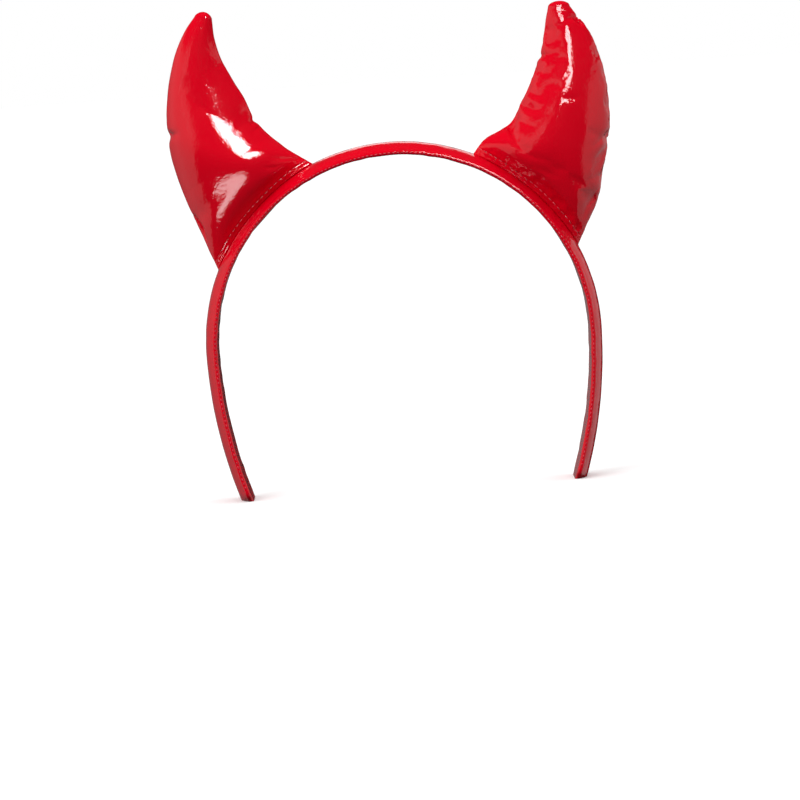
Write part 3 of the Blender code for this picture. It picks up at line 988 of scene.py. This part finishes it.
def build_camera():
    """The photograph's view: the hoop's centre falls on its pixel, and the picture is rolled."""
    forward = Vector((0, math.cos(CAMERA_ELEVATION), -math.sin(CAMERA_ELEVATION)))
    level_right = Vector((1, 0, 0))
    level_up = level_right.cross(forward)
    # Rolling the camera clockwise turns the picture anticlockwise
    right = level_right * math.cos(CAMERA_ROLL) - level_up * math.sin(CAMERA_ROLL)
    up = level_up * math.cos(CAMERA_ROLL) + level_right * math.sin(CAMERA_ROLL)
    offset_right = (FRAME_PIXELS / 2 - HOOP_AT_PIXEL[0]) * PIXEL
    offset_down = (FRAME_PIXELS / 2 - HOOP_AT_PIXEL[1]) * PIXEL
    target = HOOP_CENTRE + right * offset_right - up * offset_down
    camera_data = bpy.data.cameras.new("photo_camera")
    camera_data.sensor_width = SENSOR
    camera_data.lens = SENSOR * CAMERA_DISTANCE / (FRAME_PIXELS * PIXEL)
    camera_data.clip_start = 0.05
    camera = bpy.data.objects.new("photo_camera", camera_data)
    bpy.context.scene.collection.objects.link(camera)
    turned = Matrix((right, up, -forward)).transposed().to_4x4()
    camera.matrix_world = Matrix.Translation(target - forward * CAMERA_DISTANCE) @ turned
    bpy.context.scene.camera = camera


def lit_only(lamp, *names):
    """Keeps a lamp's light on the covers and stitches whose names start in one of these ways."""
    receivers = bpy.data.collections.new(lamp.name + "_receivers")
    for piece in bpy.data.objects:
        if piece.name.startswith(names) and not piece.name.endswith("panel"):
            receivers.objects.link(piece)
    lamp.light_linking.receiver_collection = receivers


horn_vinyl = calendered_vinyl("glossy_red_vinyl_on_knit", 0.07 * MM, 0.05 * MM)
band_vinyl = calendered_vinyl("glossy_red_vinyl_on_foam", 0.05 * MM, 0.14 * MM)
thread = polyester_thread()
edge_lines = build_headband(band_vinyl)
sew("headband_edge_stitches", edge_lines, EDGE_STITCH, thread)
for horn, front, back, seed in (
    (RIGHT_HORN, RIGHT_CREASES, RIGHT_BACK_CREASES, 11),
    (LEFT_HORN, LEFT_CREASES, LEFT_BACK_CREASES, 23),
):
    hem = [
        build_panel(horn, -1, horn.name + "_front_panel", front, seed, horn_vinyl),
        build_panel(horn, 1, horn.name + "_back_panel", back, seed + 1, horn_vinyl),
    ]
    sew(horn.name + "_base_stitches", hem, BASE_STITCH, thread)

build_floor()
build_world()
build_camera()

key = add_softbox("key_softbox", -35, 28, 1.5, (0.8, 0.8), 4.2)
key.visible_glossy = False

# The rest are seen in the gloss only, each by its own pieces
right_horn_lamps = (
    add_softbox("right_horn_gloss", 38.5, 43.5, 1.5, (0.94, 0.50), 22, LAMP_TARGET, "ELLIPSE", 39),
    add_softbox("right_horn_side_flat", 97, 18.5, 1.0, (0.90, 0.13), 0.5),
    add_softbox("low_reflector", -10, -29, 0.6, (0.62, 0.15), 5.8, (-0.065, 0, 0.13), "ELLIPSE", 18),
)
left_lamps = (
    add_softbox("left_horn_gloss", 20, 30, 1.5, (0.60, 0.52), 16),
    add_softbox("left_side_flat", 100, 0, 1.0, (2.20, 1.95), 0.5, (0.05, 0, -0.49)),
)
band_lamps = (add_softbox("band_back_gloss", 165, 20, 1.5, (1.3, 0.40), 1.3),)
for names, lamps in (
    (("right_horn",), right_horn_lamps),
    (("left_horn", "headband"), left_lamps),
    (("headband",), band_lamps),
):
    for lamp in lamps:
        lamp.visible_diffuse = False
        lit_only(lamp, *names)
bpy.context.scene.view_settings.view_transform = "Standard"
